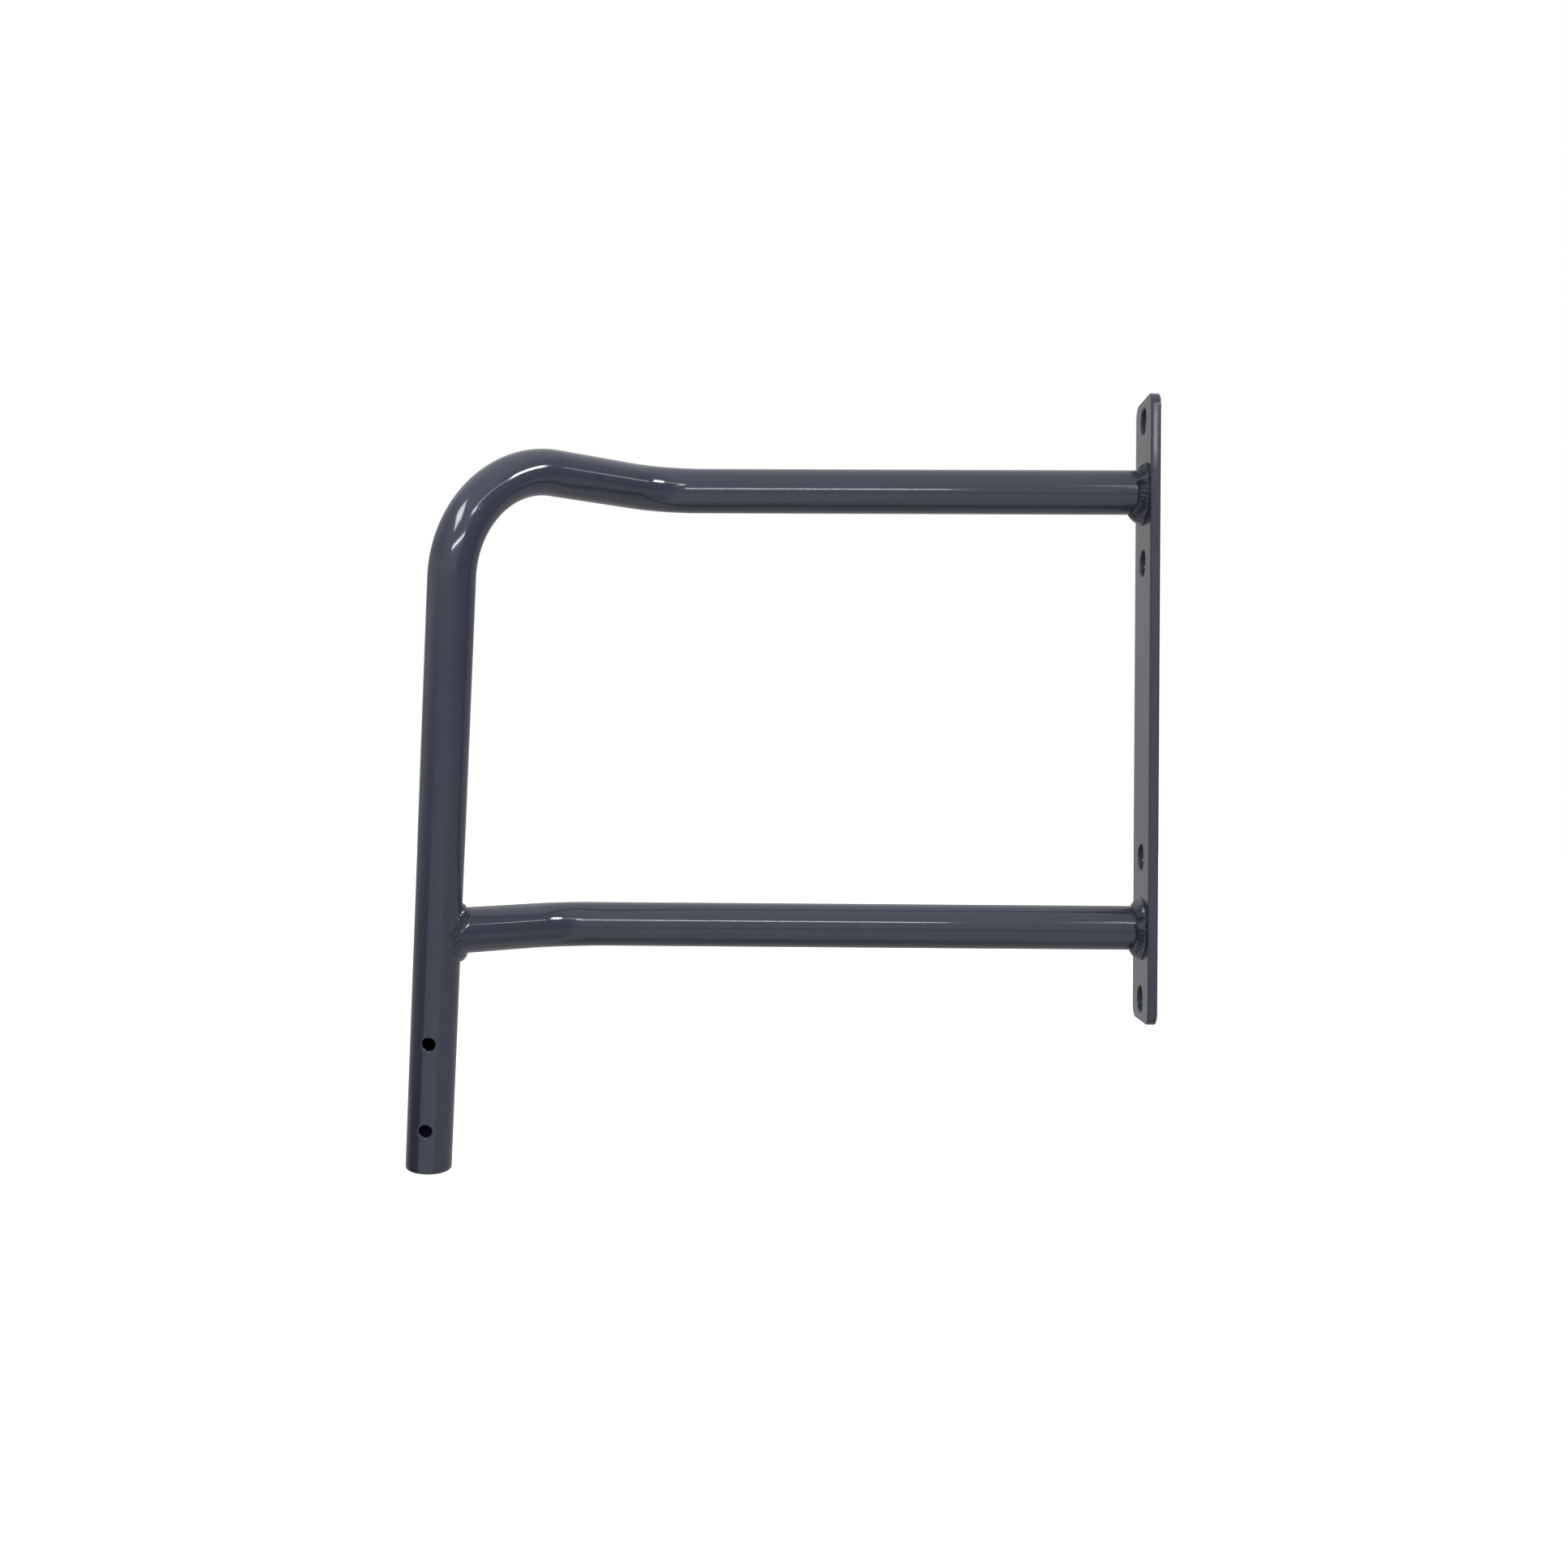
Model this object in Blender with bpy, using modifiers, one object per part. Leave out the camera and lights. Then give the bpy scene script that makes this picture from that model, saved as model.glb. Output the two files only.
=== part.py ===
"""Wall bracket of a pull-up bar: two bent steel tubes welded to a drilled wall plate.

Units are metres, +Z is up. The origin is the centre of the plate's back face, +X points
into the wall and the tubes stand out along -X. The upper tube runs out from the plate,
bends sideways by 45 degrees, then turns down into a leaning leg whose lower end is open.
The lower tube, the stay, makes the same sideways bend and meets the leg.
"""
import math

import bmesh
import bpy
from mathutils import Matrix, Vector

# Driving dimensions
TUBE_RADIUS = 0.019
TUBE_WALL = 0.0025
FIT_GAP = 0.0003

PLATE_THICKNESS = 0.0085
PLATE_WIDTH = 0.067
PLATE_HEIGHT = 0.537
PLATE_CORNER_RADIUS = 0.012
PLATE_EDGE_ROUNDING = 0.0015
PLATE_HOLE_DIAMETER = 0.023
PLATE_HOLE_OFFSET = 0.0612         # from a tube's axis to the holes above and below it

TUBE_SPACING = 0.376               # between the axes of the two tubes at the plate
BEND_RADIUS = 0.088                # centreline radius of every bend
SIDE_BEND_ANGLE = math.radians(45.0)
ARM_STRAIGHT = 0.424               # wall to the corner of the arm's side bend
ARM_REACH = 0.572                  # wall to the corner where the arm turns down
LEG_OUTWARD_SLOPE = 0.067          # outward run of the leg per metre of drop
LEG_SIDEWAYS_SLOPE = 0.154         # sideways run of the leg per metre of drop
LEG_BOTTOM_Z = -0.386
TOP_BEND_FLATTENING = 0.04         # share of its width that the tube loses in the bend's plane
SIDE_BEND_FLATTENING = 0.03
BEND_WIDENING = 0.3                # part of the flattening that the tube gains across the plane

LEG_HOLE_DIAMETER = 0.011
LEG_HOLE_FROM_END = 0.037
LEG_HOLE_SPACING = 0.074
LEG_HOLE_COUNT = 2

WELD_LEG = 0.0085                  # size of the fillet on the tube and on the plate
WELD_CROWN = 0.0008                # how far the fillet's face swells past the straight line
SADDLE_BEAD_RADIUS = 0.0075
SADDLE_BEAD_SINK = 0.0015

# Smoothness of the curved shapes
TUBE_BEVEL_RESOLUTION = 14         # gives a ring of 2 * 14 + 4 = 32 sides
BEAD_BEVEL_RESOLUTION = 4
PLATE_BEVEL_RESOLUTION = 1
BEND_STEP = math.radians(6.0)      # turn of the axis between two rings of a bend
HOLE_STEPS = 24
CORNER_STEPS = 6
WELD_RING_STEPS = 48
WELD_FACE_STEPS = 4
SADDLE_STEPS = 48
CUTTER_SIDES = 64
HOLE_CUTTER_REACH = 2              # half the length of a hole's cutter, in tube radii
SMOOTH_ANGLE = math.radians(35.0)
MERGE_DISTANCE = 0.00001

COLLECTION_NAME = "pull_up_bar_bracket"
CUTTER_COLLECTION_NAME = "cutters"


def clear_scene():
    """Remove every object, so that the script gives the same result each time."""
    for item in list(bpy.data.objects):
        bpy.data.objects.remove(item, do_unlink=True)


def new_collection(name):
    collection = bpy.data.collections.new(name)
    bpy.context.scene.collection.children.link(collection)
    return collection


def coat_material(name, colour, roughness, metallic):
    material = bpy.data.materials.new(name)
    material.use_nodes = True
    shader = material.node_tree.nodes["Principled BSDF"]
    shader.inputs["Base Color"].default_value = (*colour, 1.0)
    shader.inputs["Roughness"].default_value = roughness
    shader.inputs["Metallic"].default_value = metallic
    return material


# Routes of the tubes

class Bend:
    """The arc of a tube's axis where the tube turns from one straight run to the next."""

    def __init__(self, before, corner, after, flattening):
        self.arriving = (corner - before).normalized()
        leaving = (after - corner).normalized()
        self.turn = self.arriving.angle(leaving)
        start = corner - self.arriving * BEND_RADIUS * math.tan(self.turn / 2)
        self.inward = (leaving - self.arriving * self.arriving.dot(leaving)).normalized()
        self.across = self.arriving.cross(self.inward)
        self.centre = start + self.inward * BEND_RADIUS
        self.flattening = flattening

    def outward(self, angle):
        return self.arriving * math.sin(angle) - self.inward * math.cos(angle)

    def points(self):
        count = math.ceil(self.turn / BEND_STEP)
        return [self.centre + self.outward(self.turn * step / count) * BEND_RADIUS
                for step in range(count + 1)]

    def flatten(self, mesh):
        """Squash the tube's section inside the bend, most at the middle of the arc."""
        for vertex in mesh.vertices:
            offset = vertex.co - self.centre
            angle = math.atan2(offset.dot(self.arriving), -offset.dot(self.inward))
            if not 0.0 < angle < self.turn or offset.length > BEND_RADIUS + 2 * TUBE_RADIUS:
                continue
            squash = self.flattening * math.sin(math.pi * angle / self.turn)
            outward = self.outward(angle)
            height = offset.dot(self.across) * (1 + BEND_WIDENING * squash)
            distance = BEND_RADIUS + (offset.dot(outward) - BEND_RADIUS) * (1 - squash)
            vertex.co = self.centre + outward * distance + self.across * height


def bent_route(corners, bends):
    """Points of a tube's axis: its two ends, with an arc for each bend between them."""
    points = [corners[0]]
    for bend in bends:
        points.extend(bend.points())
    points.append(corners[-1])
    return points


def bends_of(corners, flattenings):
    return [Bend(*corners[index:index + 3], flattening)
            for index, flattening in enumerate(flattenings)]


def leg_line():
    """The top corner and the lower end of the leg's axis."""
    sideways = (ARM_REACH - ARM_STRAIGHT) * math.tan(SIDE_BEND_ANGLE)
    top = Vector((-ARM_REACH, -sideways, TUBE_SPACING / 2))
    drop = top.z - LEG_BOTTOM_Z
    bottom = top + Vector((-LEG_OUTWARD_SLOPE, LEG_SIDEWAYS_SLOPE, -1.0)) * drop
    return top, bottom


def tube_start_x():
    return -PLATE_THICKNESS - FIT_GAP


def arm_corners():
    """The arm's start, the corners of its side bend and top bend, and the leg's lower end."""
    height = TUBE_SPACING / 2
    start = Vector((tube_start_x(), 0, height))
    return start, Vector((-ARM_STRAIGHT, 0, height)), *leg_line()


def stay_line():
    """The corner of the stay's side bend and the point where the stay meets the leg's axis."""
    height = -TUBE_SPACING / 2
    top, bottom = leg_line()
    share = (top.z - height) / (top.z - bottom.z)
    meeting = top.lerp(bottom, share)
    corner = Vector((meeting.x - meeting.y / math.tan(SIDE_BEND_ANGLE), 0, height))
    return corner, meeting


# Shapes

def curve_object(name, points, radius, resolution, collection, cyclic=False):
    data = bpy.data.curves.new(name, "CURVE")
    data.dimensions = "3D"
    data.bevel_depth = radius
    data.bevel_resolution = resolution
    spline = data.splines.new("POLY")
    spline.points.add(len(points) - 1)
    for spline_point, point in zip(spline.points, points):
        spline_point.co = (*point, 1.0)
    spline.use_cyclic_u = cyclic
    item = bpy.data.objects.new(name, data)
    collection.objects.link(item)
    return item


def mesh_from(item, name, collection):
    """Replace a curve object by a mesh object with its doubled vertices merged."""
    bpy.context.view_layer.update()
    graph = bpy.context.evaluated_depsgraph_get()
    mesh = bpy.data.meshes.new_from_object(item.evaluated_get(graph))
    shape = bmesh.new()
    shape.from_mesh(mesh)
    bmesh.ops.remove_doubles(shape, verts=shape.verts, dist=MERGE_DISTANCE)
    bmesh.ops.recalc_face_normals(shape, faces=shape.faces)
    shape.to_mesh(mesh)
    shape.free()
    result = bpy.data.objects.new(name, mesh)
    result.matrix_world = item.matrix_world.copy()
    collection.objects.link(result)
    bpy.data.objects.remove(item, do_unlink=True)
    return result


def cylinder(name, start, end, radius, sides, collection):
    """A closed cylinder along the line from start to end."""
    axis = end - start
    mesh = bpy.data.meshes.new(name)
    shape = bmesh.new()
    bmesh.ops.create_cone(shape, cap_ends=True, segments=sides, radius1=radius,
                          radius2=radius, depth=axis.length)
    shape.to_mesh(mesh)
    shape.free()
    item = bpy.data.objects.new(name, mesh)
    turn = axis.to_track_quat("Z", "Y").to_matrix().to_4x4()
    item.matrix_world = Matrix.Translation((start + end) / 2) @ turn
    collection.objects.link(item)
    return item


def as_cutter(item):
    item.hide_render = True
    item.display_type = "WIRE"
    return item


def cut(item, cutter, crosses_itself=False):
    modifier = item.modifiers.new("cut " + cutter.name, "BOOLEAN")
    modifier.operation = "DIFFERENCE"
    modifier.solver = "EXACT"
    modifier.use_self = crosses_itself
    modifier.object = as_cutter(cutter)


def finish_piece(item, material):
    item.data.materials.clear()
    item.data.materials.append(material)
    item.data.shade_smooth()
    item.data.set_sharp_from_angle(angle=SMOOTH_ANGLE)


def hollow_tube(name, corners, flattenings, collection):
    """A bent tube with open ends and its outer surface at TUBE_RADIUS."""
    bends = bends_of(corners, flattenings)
    skin = curve_object(name + " axis", bent_route(corners, bends), TUBE_RADIUS,
                        TUBE_BEVEL_RESOLUTION, collection)
    tube = mesh_from(skin, name, collection)
    for bend in bends:
        bend.flatten(tube.data)
    wall = tube.modifiers.new("wall", "SOLIDIFY")
    wall.thickness = TUBE_WALL
    wall.offset = -1.0
    wall.use_even_offset = True
    return tube


def build_arm(parts, cutters, material):
    """The arm, the top bend and the leg, one bent tube with two bolt holes near its end."""
    arm = hollow_tube("arm_tube", arm_corners(), [SIDE_BEND_FLATTENING, TOP_BEND_FLATTENING], parts)
    top, bottom = leg_line()
    down = (bottom - top).normalized()
    front = Vector((0, -1, 0))
    facing = (front - down * down.dot(front)).normalized()
    reach = facing * TUBE_RADIUS * HOLE_CUTTER_REACH
    for number in range(LEG_HOLE_COUNT):
        centre = bottom - down * (LEG_HOLE_FROM_END + number * LEG_HOLE_SPACING)
        cut(arm, cylinder("leg_hole_%d" % (number + 1), centre - reach, centre + reach,
                          LEG_HOLE_DIAMETER / 2, HOLE_STEPS, cutters))
    finish_piece(arm, material)
    return arm


def build_stay(parts, cutters, material):
    """The lower tube, its far end cut to the round of the leg."""
    start = Vector((tube_start_x(), 0, -TUBE_SPACING / 2))
    stay = hollow_tube("stay_tube", [start, *stay_line()], [SIDE_BEND_FLATTENING], parts)
    top, bottom = leg_line()
    cut(stay, cylinder("leg_saddle", top, bottom, TUBE_RADIUS + FIT_GAP, CUTTER_SIDES, cutters))
    finish_piece(stay, material)
    return stay


def circle_points(centre_y, centre_z, radius, steps):
    """Points of a circle that runs clockwise, as a hole in an outline does."""
    points = []
    for step in range(steps):
        angle = -math.tau * step / steps
        points.append((centre_y + radius * math.cos(angle), centre_z + radius * math.sin(angle)))
    return points


def rounded_rectangle(width, height, radius, steps):
    """Points of a rectangle with round corners, anticlockwise."""
    points = []
    corners = [(1, 1, 0), (-1, 1, 90), (-1, -1, 180), (1, -1, 270)]
    for side_y, side_z, start in corners:
        centre_y = side_y * (width / 2 - radius)
        centre_z = side_z * (height / 2 - radius)
        for step in range(steps + 1):
            angle = math.radians(start + 90 * step / steps)
            points.append((centre_y + radius * math.cos(angle),
                           centre_z + radius * math.sin(angle)))
    return points


def plate_hole_heights():
    heights = []
    for level in (1, -1):
        for side in (1, -1):
            heights.append(level * TUBE_SPACING / 2 + side * PLATE_HOLE_OFFSET)
    return heights


def build_plate(parts, material):
    """The flat wall plate with round corners, eased edges and four round holes."""
    data = bpy.data.curves.new("wall_plate outline", "CURVE")
    data.dimensions = "2D"
    data.fill_mode = "BOTH"
    data.extrude = PLATE_THICKNESS / 2 - PLATE_EDGE_ROUNDING
    data.bevel_depth = PLATE_EDGE_ROUNDING
    data.bevel_resolution = PLATE_BEVEL_RESOLUTION
    data.offset = -PLATE_EDGE_ROUNDING
    outlines = [rounded_rectangle(PLATE_WIDTH, PLATE_HEIGHT, PLATE_CORNER_RADIUS, CORNER_STEPS)]
    for height in plate_hole_heights():
        outlines.append(circle_points(0, height, PLATE_HOLE_DIAMETER / 2, HOLE_STEPS))
    for outline in outlines:
        spline = data.splines.new("POLY")
        spline.points.add(len(outline) - 1)
        for spline_point, (across, up) in zip(spline.points, outline):
            spline_point.co = (across, up, 0, 1)
        spline.use_cyclic_u = True
    item = bpy.data.objects.new("wall_plate outline", data)
    # The outline's own x, y and z become the plate's Y, Z and X.
    turn = Matrix(((0, 0, 1, 0), (1, 0, 0, 0), (0, 1, 0, 0), (0, 0, 0, 1)))
    item.matrix_world = Matrix.Translation((-PLATE_THICKNESS / 2, 0, 0)) @ turn
    parts.objects.link(item)
    plate = mesh_from(item, "wall_plate", parts)
    finish_piece(plate, material)
    return plate


# Welds

def plate_weld_profile():
    """The fillet's section as (distance from the tube's axis, distance from the plate)."""
    inner = TUBE_RADIUS + FIT_GAP
    base = FIT_GAP
    profile = [(inner, base)]
    for step in range(WELD_FACE_STEPS + 1):
        share = step / WELD_FACE_STEPS
        swell = WELD_CROWN * math.sin(math.pi * share)
        out = inner + WELD_LEG * share + swell
        rise = base + WELD_LEG * (1 - share) + swell
        profile.append((out, rise))
    return profile


def build_plate_weld(name, height, parts, material):
    """The ring of weld where a tube meets the plate."""
    mesh = bpy.data.meshes.new(name)
    shape = bmesh.new()
    corners = [shape.verts.new((out, 0, rise)) for out, rise in plate_weld_profile()]
    for first, second in zip(corners, corners[1:] + corners[:1]):
        shape.edges.new((first, second))
    shape.to_mesh(mesh)
    shape.free()
    item = bpy.data.objects.new(name, mesh)
    # The ring's own +Z points away from the plate, along -X.
    turn = Matrix.Rotation(-math.pi / 2, 4, "Y")
    item.matrix_world = Matrix.Translation((-PLATE_THICKNESS, 0, height)) @ turn
    parts.objects.link(item)
    ring = item.modifiers.new("ring", "SCREW")
    ring.axis = "Z"
    ring.steps = WELD_RING_STEPS
    ring.render_steps = WELD_RING_STEPS
    ring.use_merge_vertices = True
    ring.merge_threshold = MERGE_DISTANCE
    finish_piece(item, material)
    return item


def saddle_route():
    """The line where the stay's surface meets the leg's, a little under both surfaces."""
    corner, meeting = stay_line()
    top, bottom = leg_line()
    along = (meeting - corner).normalized()
    leg_axis = (bottom - top).normalized()
    side = along.cross(Vector((0, 0, 1))).normalized()
    up = side.cross(along)
    radius = TUBE_RADIUS - SADDLE_BEAD_SINK
    points = []
    for step in range(SADDLE_STEPS):
        angle = math.tau * step / SADDLE_STEPS
        foot = meeting + (side * math.cos(angle) + up * math.sin(angle)) * radius
        # Solve |(foot + along * t) x leg_axis| = radius for the near crossing.
        across = (foot - meeting).cross(leg_axis)
        travel = along.cross(leg_axis)
        a = travel.dot(travel)
        b = 2 * across.dot(travel)
        c = across.dot(across) - radius * radius
        root = math.sqrt(max(b * b - 4 * a * c, 0.0))
        points.append(foot + along * (-b - root) / (2 * a))
    return points


def build_saddle_weld(parts, cutters, material):
    """The ring of weld where the stay meets the leg."""
    bead = curve_object("weld_stay_leg route", saddle_route(), SADDLE_BEAD_RADIUS,
                        BEAD_BEVEL_RESOLUTION, parts, cyclic=True)
    weld = mesh_from(bead, "weld_stay_leg", parts)
    corner, meeting = stay_line()
    top, bottom = leg_line()
    clear = TUBE_RADIUS + FIT_GAP
    # The bead's inner side crosses itself where its line turns sharply, on the leg's flanks.
    cut(weld, cylinder("leg_clearance", top, bottom, clear, CUTTER_SIDES, cutters),
        crosses_itself=True)
    beyond = meeting + (meeting - corner).normalized() * TUBE_RADIUS
    cut(weld, cylinder("stay_clearance", corner, beyond, clear, CUTTER_SIDES, cutters),
        crosses_itself=True)
    finish_piece(weld, material)
    return weld


def main():
    clear_scene()
    parts = new_collection(COLLECTION_NAME)
    cutters = new_collection(CUTTER_COLLECTION_NAME)
    tube_coat = coat_material("tube_powder_coat", (0.055, 0.060, 0.078), 0.30, 0.0)
    plate_coat = coat_material("plate_powder_coat", (0.060, 0.064, 0.082), 0.30, 0.0)
    weld_coat = coat_material("weld_powder_coat", (0.050, 0.054, 0.070), 0.32, 0.0)
    build_plate(parts, plate_coat)
    build_arm(parts, cutters, tube_coat)
    build_stay(parts, cutters, tube_coat)
    build_plate_weld("weld_arm_plate", TUBE_SPACING / 2, parts, weld_coat)
    build_plate_weld("weld_stay_plate", -TUBE_SPACING / 2, parts, weld_coat)
    build_saddle_weld(parts, cutters, weld_coat)


main()
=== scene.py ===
"""Looks of a pull-up bar's wall bracket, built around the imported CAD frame.

Two bent tubes, a drilled flat bar and three weld beads, all under one glossy anthracite
powder coat. Units are metres, +X goes into the wall, +Z is up, the tubes bend towards -Y.
"""
import math

import bmesh
import bpy
from mathutils import Matrix, Quaternion, Vector, noise


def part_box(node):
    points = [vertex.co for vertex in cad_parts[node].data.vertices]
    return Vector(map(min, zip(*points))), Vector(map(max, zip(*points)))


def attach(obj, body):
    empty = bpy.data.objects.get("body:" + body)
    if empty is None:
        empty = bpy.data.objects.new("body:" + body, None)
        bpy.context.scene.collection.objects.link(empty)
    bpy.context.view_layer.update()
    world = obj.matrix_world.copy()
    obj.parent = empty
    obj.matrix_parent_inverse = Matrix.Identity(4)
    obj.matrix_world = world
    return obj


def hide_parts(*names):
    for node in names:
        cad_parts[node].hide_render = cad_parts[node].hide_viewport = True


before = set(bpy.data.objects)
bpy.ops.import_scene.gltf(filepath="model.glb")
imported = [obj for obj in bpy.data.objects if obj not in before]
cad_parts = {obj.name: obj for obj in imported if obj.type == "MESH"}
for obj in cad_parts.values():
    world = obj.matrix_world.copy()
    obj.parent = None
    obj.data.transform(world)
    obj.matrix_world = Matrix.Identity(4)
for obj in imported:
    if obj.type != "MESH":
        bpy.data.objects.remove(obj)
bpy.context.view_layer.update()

# Sizes of the frame
plate_low, plate_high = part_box("wall_plate")
PLATE_THICKNESS = plate_high[0] - plate_low[0]
PLATE_WIDTH = plate_high[1] - plate_low[1]
PLATE_HEIGHT = plate_high[2] - plate_low[2]
PLATE_FRONT = plate_low[0]

# Driving sizes that the frame's boxes don't give, the same as in the CAD model
TUBE_RADIUS = 0.019
TUBE_WALL = 0.0025
BORE_RADIUS = TUBE_RADIUS - TUBE_WALL
TUBE_SPACING = 0.376
ARM_STRAIGHT = 0.424
ARM_REACH = 0.572
SIDE_BEND_ANGLE = math.radians(45.0)
BEND_RADIUS = 0.088
LEG_OUTWARD_SLOPE = 0.067
LEG_SIDEWAYS_SLOPE = 0.154
LEG_BOTTOM_Z = -0.386
TOP_BEND_FLATTENING = 0.04
SIDE_BEND_FLATTENING = 0.03
BEND_WIDENING = 0.3
LEG_HOLE_RADIUS = 0.0055
LEG_HOLES_FROM_END = (0.037, 0.111)
PLATE_CORNER_RADIUS = 0.012
PLATE_EDGE_ROUNDING = 0.0015
PLATE_HOLE_RADIUS = 0.0115
PLATE_HOLE_OFFSET = 0.0612
FIT_GAP = 0.0003

# Fineness of the meshes
TUBE_SIDES = 96
BEND_STEP = math.radians(1.5)
STRAIGHT_STEP = 0.012
RIM_ROUNDING = 0.0004
RIM_STEPS = 3
LIP_ROUNDING = 0.0012
LIP_STEPS = 5
DRILL_CELLS = 8                    # half the side of the square patch round a bolt hole
PATCH_SHARES = (0.25, 0.5, 0.75)   # rings between the square patch and the round hole
COPE_CLEARANCE = 0.0001            # between the stay's cut end and the leg
COPE_STEPS = 8
WELD_STEPS = 460
WELD_FACE_STEPS = 14
WELD_ROOT_DEPTH = 0.0012
TOE_SINK = 0.00015                 # how far a weld's toes sit under the metal's surface
LEG_TOE_CLEARANCE = 0.0003
PLATE_CORNER_STEPS = 16
PLATE_HOLE_STEPS = 64
MERGE_DISTANCE = 0.00001

# The welds' uneven places: (angle round the joint, width of the place as an angle, and what is
# added there to the fillet's leg on the tube, to its leg on the base and to its crown)
UNDERSIDE = -math.pi / 2
TOP_SIDE = math.pi / 2
ARM_WELD_PLACES = [(UNDERSIDE, 0.55, 0.0050, 0.0016, 0.0006),
                   (TOP_SIDE, 0.7, -0.0025, -0.0010, 0.0),
                   (0.28, 0.11, 0.0012, 0.0008, 0.0020), (0.54, 0.11, -0.0016, -0.0010, -0.0014),
                   (0.95, 0.14, 0.0005, 0.0012, 0.0010)]
STAY_WELD_PLACES = [(0.15, 0.10, 0.0010, 0.0008, 0.0020), (0.38, 0.10, -0.0014, -0.0010, -0.0012),
                    (0.80, 0.20, 0.0006, 0.0010, 0.0009), (UNDERSIDE, 0.50, 0.0020, 0.0010, 0.0004)]
LEG_WELD_PLACES = [(2.35, 0.20, 0.0010, 0.0010, 0.0014), (2.90, 0.16, -0.0012, -0.0012, -0.0010),
                   (3.60, 0.25, 0.0008, 0.0014, 0.0008), (-1.5, 0.40, 0.0020, 0.0010, 0.0005)]

# The powder coat: how far its tone swings, its roughness, and how fine each unevenness is
TONE_SWING = 0.10
ROUGHNESS_RANGE = (0.07, 0.12)
TONE_SCALE = 26.0
ROUGHNESS_SCALE = 60.0
PEEL_SCALE = 750.0
FLOW_SCALE = 110.0

# The studio. Each pair is a height, the sine of the elevation, and a brightness.
FLOOR_SIZE = 60.0
FLOOR_HEIGHT = -1.3
FLOOR_GLOW = 0.6
ROOM_IN_FRONT = ((-1.0, 0.4), (-0.9, 0.9), (-0.45, 0.9), (-0.24, 0.52), (-0.1, 0.86), (0.0, 0.9),
                 (0.3, 0.85), (1.0, 1.0))
ROOM_AT_LEFT = ((-1.0, 0.1), (-0.35, 0.04), (-0.15, 0.45), (0.0, 0.85), (0.3, 0.6), (0.6, 0.6),
                (1.0, 0.75))
ROOM_AT_RIGHT = ((-1.0, 0.2), (-0.45, 0.62), (-0.3, 0.5), (-0.15, 0.22), (0.1, 0.3), (0.3, 0.3),
                 (0.6, 0.5), (1.0, 0.75))
ROOM_BEHIND = ((-1.0, 0.3), (-0.8, 0.6), (-0.4, 0.6), (0.0, 0.42), (0.3, 0.5), (0.6, 0.9),
               (1.0, 0.8))
KEY_BEAM = 60.0                    # degrees

# The camera
CAMERA_PLACE = Vector((-0.2940, -1.4432, -0.0656))
CAMERA_YAW = math.radians(-0.916)
CAMERA_ROLL = math.radians(0.360)
CAMERA_LENS = 38.23
CAMERA_SENSOR = 36.0


# Routes of the tubes

class Station:
    """One cross-section of a tube: its centre, its directions and how much it is squashed."""

    def __init__(self, centre, tangent, inward=None, squash=0.0):
        self.centre = centre
        self.tangent = tangent
        self.inward = inward
        self.squash = squash
        self.first = None
        self.second = None

    def point(self, angle, radius):
        offset = (self.first * math.cos(angle) + self.second * math.sin(angle)) * radius
        if self.squash:
            across = self.tangent.cross(self.inward)
            offset = (offset - self.inward * offset.dot(self.inward) * self.squash
                      + across * offset.dot(across) * self.squash * BEND_WIDENING)
        return self.centre + offset

    def moved(self, distance):
        """The same section further along the tube's straight run."""
        other = Station(self.centre + self.tangent * distance, self.tangent)
        other.first = self.first
        other.second = self.second
        return other


def straight_stations(start, end, tangent):
    """Sections between two points, without the first and the last."""
    length = (end - start).length
    count = max(1, round(length / STRAIGHT_STEP))
    return [Station(start + tangent * length * step / count, tangent)
            for step in range(1, count)]


def tube_stations(corners, flattenings):
    """Sections along a route whose inner corners are arcs, with each arc's flattening."""
    stations = [Station(corners[0], (corners[1] - corners[0]).normalized())]
    for index, flattening in enumerate(flattenings):
        corner = corners[index + 1]
        arriving = (corner - corners[index]).normalized()
        leaving = (corners[index + 2] - corner).normalized()
        turn = arriving.angle(leaving)
        start = corner - arriving * BEND_RADIUS * math.tan(turn / 2)
        inward = (leaving - arriving * arriving.dot(leaving)).normalized()
        centre = start + inward * BEND_RADIUS
        stations += straight_stations(stations[-1].centre, start, arriving)
        count = math.ceil(turn / BEND_STEP)
        for step in range(count + 1):
            angle = turn * step / count
            to_centre = inward * math.cos(angle) - arriving * math.sin(angle)
            tangent = arriving * math.cos(angle) + inward * math.sin(angle)
            squash = flattening * math.sin(math.pi * step / count)
            stations.append(Station(centre - to_centre * BEND_RADIUS, tangent, to_centre, squash))
    return stations


def carry_directions(stations, first):
    """Give every section its two directions, turned as little as possible from the last one."""
    ordered = list(reversed(stations))
    ordered[0].first = (first - ordered[0].tangent * first.dot(ordered[0].tangent)).normalized()
    for before, after in zip(ordered, ordered[1:]):
        turn = before.tangent.rotation_difference(after.tangent)
        after.first = (turn @ before.first).normalized()
    for station in stations:
        station.second = station.tangent.cross(station.first)


def leg_line():
    """The top corner and the lower end of the leg's axis."""
    sideways = (ARM_REACH - ARM_STRAIGHT) * math.tan(SIDE_BEND_ANGLE)
    top = Vector((-ARM_REACH, -sideways, TUBE_SPACING / 2))
    drop = top.z - LEG_BOTTOM_Z
    return top, top + Vector((-LEG_OUTWARD_SLOPE, LEG_SIDEWAYS_SLOPE, -1.0)) * drop


def stay_line():
    """The corner of the stay's bend and the point where its axis meets the leg's."""
    height = -TUBE_SPACING / 2
    top, bottom = leg_line()
    meeting = top.lerp(bottom, (top.z - height) / (top.z - bottom.z))
    return Vector((meeting.x - meeting.y / math.tan(SIDE_BEND_ANGLE), 0, height)), meeting


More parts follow.
